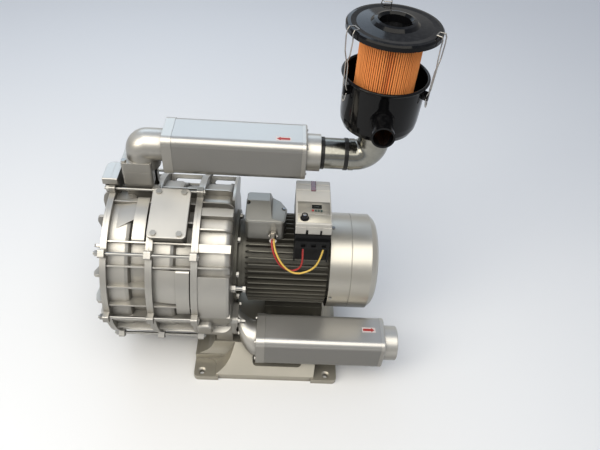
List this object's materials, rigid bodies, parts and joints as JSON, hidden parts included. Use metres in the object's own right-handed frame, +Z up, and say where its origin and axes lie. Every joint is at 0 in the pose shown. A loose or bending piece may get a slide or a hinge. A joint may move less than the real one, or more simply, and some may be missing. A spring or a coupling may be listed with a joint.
{
  "type": "ring blower",
  "caption": "Multi-stage side channel blower on a cast base with motor, inlet filter, silencers and speed inverter.",
  "frame": {"origin": "centre of the base's four bolt holes, on the floor", "axes": "+X along the shaft towards the motor's fan, +Z up, -Y the side with the outlet silencer"},
  "size_m": [0.953, 0.59, 1.141],
  "materials": {
    "cast_paint": "silver aluminium paint on castings",
    "base_paint": "silver paint on the cast base",
    "box_paint": "smooth silver powder coat",
    "motor_paint": "silver paint on the finned frame",
    "cowl_paint": "smooth silver paint on pressed sheet",
    "zinc": "bright zinc on fasteners",
    "galvanised": "galvanised sheet",
    "band_black": "dark clamping bands",
    "gloss_black": "gloss black enamel",
    "paper_orange": "pleated orange filter paper",
    "wire_zinc": "zinc plated spring wire",
    "dark_steel": "machined steel",
    "impeller_alloy": "cast aluminium",
    "lamination": "stacked sheet with copper windings",
    "bearing_steel": "ground steel",
    "liner_foam": "acoustic foam",
    "case_grey": "light grey moulded case",
    "case_black": "black moulded cover",
    "lens_red": "dark red lens",
    "display_dark": "dark display window",
    "knob_black": "gloss black knob",
    "key_blue": "pale blue key",
    "key_red": "red key",
    "wire_red": "red insulation",
    "wire_yellow": "yellow insulation",
    "gland_metal": "nickel plated brass",
    "terminal_brown": "brown moulded block",
    "fan_plastic": "black fan",
    "bracket_steel": "zinc plated plate"
  },
  "bodies": {
    "blower": {"base_frame": "base_paint", "outboard_cover": "cast_paint", "stage_housing_1": "cast_paint", "stage_housing_2": "cast_paint", "drive_housing": "cast_paint", "transfer_cover": "cast_paint", "tie_rods": "zinc", "hex_bolts": "zinc", "inlet_elbow": "cast_paint", "inlet_end_plate": "cast_paint", "inlet_silencer_body": "box_paint", "inlet_end_cap": "cast_paint", "outlet_end_plate": "cast_paint", "outlet_silencer_body": "box_paint", "outlet_end_cap": "cast_paint", "silencer_liners": "liner_foam", "outlet_connector": "cast_paint", "filter_sleeve": "galvanised", "sleeve_bands": "band_black", "filter_elbow": "galvanised", "filter_canister": "gloss_black", "filter_element": "paper_orange", "motor_flange": "motor_paint", "motor_housing": "motor_paint", "stator_core": "lamination", "fan_end_shield": "motor_paint", "fan_cowl": "cowl_paint", "motor_foot": "motor_paint", "bearings": "bearing_steel", "terminal_box": "motor_paint", "terminal_box_lid": "motor_paint", "terminal_block": "terminal_brown", "cable_gland": "gland_metal", "small_screws": "dark_steel", "inverter_case": "case_black", "inverter_face": "case_grey", "inverter_terminal_cover": "case_black", "status_lens": "lens_red", "display_window": "display_dark", "inverter_bracket": "bracket_steel", "red_wire": "wire_red", "yellow_wire": "wire_yellow"},
    "rotor": {"main_shaft": "dark_steel", "impeller_1": "impeller_alloy", "impeller_2": "impeller_alloy", "impeller_3": "impeller_alloy", "rotor_core": "lamination", "cooling_fan": "fan_plastic"},
    "lid": {"filter_lid": "gloss_black"},
    "latch_left": {"latch_left": "wire_zinc"},
    "latch_right": {"latch_right": "wire_zinc"},
    "latch_back": {"latch_back": "wire_zinc"},
    "lever_left": {"lever_left": "wire_zinc"},
    "lever_right": {"lever_right": "wire_zinc"},
    "lever_back": {"lever_back": "wire_zinc"},
    "knob": {"speed_knob": "knob_black"},
    "key_1": {"keypad_key_1": "key_red"},
    "key_2": {"keypad_key_2": "key_blue"},
    "key_3": {"keypad_key_3": "key_blue"},
    "key_4": {"keypad_key_4": "key_blue"}
  },
  "joints": [
    {"name": "rotor_spin", "type": "hinge", "parent": "blower", "child": "rotor", "pos_m": [0, 0, 0.31], "axis": [1, 0, 0], "continuous": true},
    {"name": "filter_lid_lift", "type": "slide", "parent": "blower", "child": "lid", "axis": [0, 0, 1], "range_m": [0, 0.003]},
    {"name": "latch_left_swing", "type": "hinge", "parent": "blower", "child": "latch_left", "pos_m": [0.1803, -0.00839, 0.972], "axis": [0.454, -0.891, 0], "range_deg": [0, 100]},
    {"name": "lever_left_swing", "type": "hinge", "parent": "blower", "child": "lever_left", "pos_m": [0.1803, -0.00839, 0.962], "axis": [-0.454, 0.891, 0], "range_deg": [0, 60]},
    {"name": "latch_right_swing", "type": "hinge", "parent": "blower", "child": "latch_right", "pos_m": [0.39357, -0.01583, 0.972], "axis": [0.515, 0.8572, 0], "range_deg": [0, 100]},
    {"name": "lever_right_swing", "type": "hinge", "parent": "blower", "child": "lever_right", "pos_m": [0.39357, -0.01583, 0.962], "axis": [-0.515, -0.8572, 0], "range_deg": [0, 60]},
    {"name": "latch_back_swing", "type": "hinge", "parent": "blower", "child": "latch_back", "pos_m": [0.28262, 0.16883, 0.972], "axis": [-0.9986, -0.0523, 0], "range_deg": [0, 100]},
    {"name": "lever_back_swing", "type": "hinge", "parent": "blower", "child": "lever_back", "pos_m": [0.28262, 0.16883, 0.962], "axis": [0.9986, 0.0523, 0], "range_deg": [0, 60]},
    {"name": "speed_knob_turn", "type": "hinge", "parent": "blower", "child": "knob", "pos_m": [0.1, -0.11, 0.6], "axis": [0, 0, 1], "range_deg": [-150, 150]},
    {"name": "key_1_press", "type": "slide", "parent": "blower", "child": "key_1", "axis": [0, 0, -1], "range_m": [0, 0.001], "stiffness_N_per_m": 400},
    {"name": "key_2_press", "type": "slide", "parent": "blower", "child": "key_2", "axis": [0, 0, -1], "range_m": [0, 0.001], "stiffness_N_per_m": 400},
    {"name": "key_3_press", "type": "slide", "parent": "blower", "child": "key_3", "axis": [0, 0, -1], "range_m": [0, 0.001], "stiffness_N_per_m": 400},
    {"name": "key_4_press", "type": "slide", "parent": "blower", "child": "key_4", "axis": [0, 0, -1], "range_m": [0, 0.001], "stiffness_N_per_m": 400}
  ]
}
